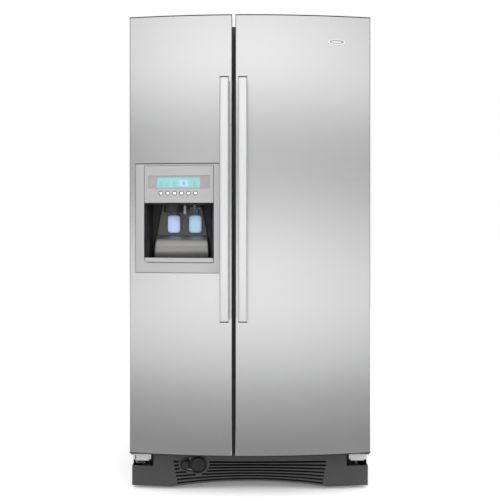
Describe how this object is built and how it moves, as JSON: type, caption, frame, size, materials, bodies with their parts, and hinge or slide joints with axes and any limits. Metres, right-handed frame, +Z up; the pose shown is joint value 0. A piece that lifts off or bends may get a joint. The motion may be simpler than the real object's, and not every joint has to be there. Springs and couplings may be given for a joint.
{
  "type": "side by side refrigerator",
  "caption": "Tall side by side refrigerator and freezer with bowed stainless doors, long bar handles, an ice and water dispenser and a base grille.",
  "frame": {"origin": "on the floor, at the centre of the footprint of the closed appliance", "axes": "+Z up, the doors face -Y, +X is to the right of someone facing the doors"},
  "size_m": [0.902, 0.857, 1.778],
  "materials": {
    "painted_steel": "satin grey enamel",
    "foam": "rigid foam",
    "white_plastic": "gloss white",
    "galvanised_steel": "galvanised",
    "black_plastic": "matte black",
    "black_steel": "satin black",
    "grey_plastic": "matte grey",
    "plated_steel": "zinc plated",
    "aluminium": "plain",
    "shelf_glass": "clear glass",
    "clear_plastic": "clear polystyrene",
    "stainless": "fine brushed stainless",
    "seal": "soft grey vinyl",
    "silver_plastic": "silver satin",
    "dark_plastic": "dark gloss",
    "lit_lens": "backlit lens",
    "button_plastic": "white gloss",
    "paddle_plastic": "translucent blue"
  },
  "bodies": {
    "cabinet": {"cabinet_shell": "painted_steel", "insulation": "foam", "freezer_liner": "white_plastic", "fridge_liner": "white_plastic", "rear_panel": "galvanised_steel", "base_frame": "black_steel", "base_grille": "black_plastic", "machine_cover": "galvanised_steel", "compressor": "black_steel", "condenser": "black_steel", "fan_bracket": "grey_plastic", "water_line": "grey_plastic", "hinges": "plated_steel", "hinge_covers": "grey_plastic", "evaporator_cover": "white_plastic", "evaporator": "aluminium", "ice_maker": "white_plastic", "freezer_shelves": "shelf_glass", "fridge_shelves": "shelf_glass"},
    "freezer_door_body": {"freezer_door_skin": "stainless", "freezer_door_liner": "white_plastic", "freezer_door_caps": "grey_plastic", "freezer_gasket": "seal", "freezer_handle": "stainless", "freezer_handle_mounts": "grey_plastic", "freezer_door_bins": "clear_plastic", "dispenser_bezel": "silver_plastic", "dispenser_cavity": "dark_plastic", "control_panel": "silver_plastic", "display": "lit_lens"},
    "fridge_door_body": {"fridge_door_skin": "stainless", "fridge_door_liner": "white_plastic", "fridge_door_caps": "grey_plastic", "fridge_gasket": "seal", "fridge_handle": "stainless", "fridge_handle_mounts": "grey_plastic", "fridge_door_bins": "clear_plastic"},
    "condenser_fan_body": {"condenser_fan": "white_plastic"},
    "evaporator_fan_body": {"evaporator_fan": "black_plastic"},
    "freezer_basket_body": {"freezer_basket": "white_plastic"},
    "crisper_upper_body": {"crisper_upper": "clear_plastic"},
    "crisper_lower_body": {"crisper_lower": "clear_plastic"},
    "ice_bin_body": {"ice_bin": "clear_plastic"},
    "ice_auger_body": {"ice_auger": "plated_steel"},
    "button_1_body": {"button_1": "button_plastic"},
    "button_2_body": {"button_2": "button_plastic"},
    "button_3_body": {"button_3": "button_plastic"},
    "button_4_body": {"button_4": "button_plastic"},
    "button_5_body": {"button_5": "button_plastic"},
    "button_6_body": {"button_6": "button_plastic"},
    "ice_paddle_body": {"ice_paddle": "paddle_plastic"},
    "water_paddle_body": {"water_paddle": "paddle_plastic"},
    "drip_tray_body": {"drip_tray": "silver_plastic"},
    "dairy_flap_body": {"dairy_flap": "clear_plastic"},
    "filter_cartridge_body": {"filter_cartridge": "black_plastic"},
    "filter_button_body": {"filter_button": "black_plastic"},
    "foot_left_body": {"foot_left": "plated_steel"},
    "foot_right_body": {"foot_right": "plated_steel"},
    "rear_roller_left_body": {"rear_roller_left": "black_plastic"},
    "rear_roller_right_body": {"rear_roller_right": "black_plastic"}
  },
  "joints": [
    {"name": "freezer_door_hinge", "type": "hinge", "parent": "cabinet", "child": "freezer_door_body", "pos_m": [-0.433, -0.3065, 0], "axis": [0, 0, -1], "range_deg": [0, 120]},
    {"name": "fridge_door_hinge", "type": "hinge", "parent": "cabinet", "child": "fridge_door_body", "pos_m": [0.433, -0.3065, 0], "axis": [0, 0, 1], "range_deg": [0, 120]},
    {"name": "button_1_press", "type": "slide", "parent": "freezer_door_body", "child": "button_1_body", "axis": [0, 1, 0], "range_m": [0, 0.0014], "stiffness_N_per_m": 400, "springref_m": -0.001},
    {"name": "button_2_press", "type": "slide", "parent": "freezer_door_body", "child": "button_2_body", "axis": [0, 1, 0], "range_m": [0, 0.0014], "stiffness_N_per_m": 400, "springref_m": -0.001},
    {"name": "button_3_press", "type": "slide", "parent": "freezer_door_body", "child": "button_3_body", "axis": [0, 1, 0], "range_m": [0, 0.0014], "stiffness_N_per_m": 400, "springref_m": -0.001},
    {"name": "button_4_press", "type": "slide", "parent": "freezer_door_body", "child": "button_4_body", "axis": [0, 1, 0], "range_m": [0, 0.0014], "stiffness_N_per_m": 400, "springref_m": -0.001},
    {"name": "button_5_press", "type": "slide", "parent": "freezer_door_body", "child": "button_5_body", "axis": [0, 1, 0], "range_m": [0, 0.0014], "stiffness_N_per_m": 400, "springref_m": -0.001},
    {"name": "button_6_press", "type": "slide", "parent": "freezer_door_body", "child": "button_6_body", "axis": [0, 1, 0], "range_m": [0, 0.0014], "stiffness_N_per_m": 400, "springref_m": -0.001},
    {"name": "ice_paddle_hinge", "type": "hinge", "parent": "freezer_door_body", "child": "ice_paddle_body", "pos_m": [-0.292, -0.258, 1.066], "axis": [1, 0, 0], "range_deg": [0, 10], "stiffness_Nm_per_rad": 0.3, "springref_deg": -8.59},
    {"name": "water_paddle_hinge", "type": "hinge", "parent": "freezer_door_body", "child": "water_paddle_body", "pos_m": [-0.21, -0.258, 1.066], "axis": [1, 0, 0], "range_deg": [0, 10], "stiffness_Nm_per_rad": 0.3, "springref_deg": -8.59},
    {"name": "drip_tray_slide", "type": "slide", "parent": "freezer_door_body", "child": "drip_tray_body", "axis": [0, -1, 0], "range_m": [0, 0.06]},
    {"name": "ice_bin_lift", "type": "slide", "parent": "freezer_door_body", "child": "ice_bin_body", "axis": [0, 0, 1], "range_m": [0, 0.06]},
    {"name": "ice_auger_turn", "type": "hinge", "parent": "ice_bin_body", "child": "ice_auger_body", "pos_m": [-0.262, -0.232, 1.3], "axis": [0, 0, 1], "continuous": true},
    {"name": "dairy_flap_hinge", "type": "hinge", "parent": "fridge_door_body", "child": "dairy_flap_body", "pos_m": [0.189, -0.1875, 1.628], "axis": [1, 0, 0], "range_deg": [0, 88]},
    {"name": "crisper_upper_slide", "type": "slide", "parent": "cabinet", "child": "crisper_upper_body", "axis": [0, -1, 0], "range_m": [0, 0.07]},
    {"name": "crisper_lower_slide", "type": "slide", "parent": "cabinet", "child": "crisper_lower_body", "axis": [0, -1, 0], "range_m": [0, 0.07]},
    {"name": "freezer_basket_slide", "type": "slide", "parent": "cabinet", "child": "freezer_basket_body", "axis": [0, -1, 0], "range_m": [0, 0.07]},
    {"name": "filter_cartridge_slide", "type": "slide", "parent": "cabinet", "child": "filter_cartridge_body", "axis": [0, -1, 0], "range_m": [0, 0.25]},
    {"name": "filter_button_press", "type": "slide", "parent": "cabinet", "child": "filter_button_body", "axis": [0, 1, 0], "range_m": [0, 0.004], "stiffness_N_per_m": 800, "springref_m": -0.002},
    {"name": "foot_left_turn", "type": "hinge", "parent": "cabinet", "child": "foot_left_body", "pos_m": [-0.415, -0.235, 0.04], "axis": [0, 0, 1], "continuous": true},
    {"name": "rear_roller_left_spin", "type": "hinge", "parent": "cabinet", "child": "rear_roller_left_body", "pos_m": [-0.415, 0.385, 0.022], "axis": [1, 0, 0], "continuous": true},
    {"name": "foot_right_turn", "type": "hinge", "parent": "cabinet", "child": "foot_right_body", "pos_m": [0.415, -0.235, 0.04], "axis": [0, 0, 1], "continuous": true},
    {"name": "rear_roller_right_spin", "type": "hinge", "parent": "cabinet", "child": "rear_roller_right_body", "pos_m": [0.415, 0.385, 0.022], "axis": [1, 0, 0], "continuous": true},
    {"name": "condenser_fan_spin", "type": "hinge", "parent": "cabinet", "child": "condenser_fan_body", "pos_m": [0.02, 0.315, 0.15], "axis": [1, 0, 0], "continuous": true},
    {"name": "evaporator_fan_spin", "type": "hinge", "parent": "cabinet", "child": "evaporator_fan_body", "pos_m": [-0.24, 0.309, 1.345], "axis": [0, 1, 0], "continuous": true}
  ]
}
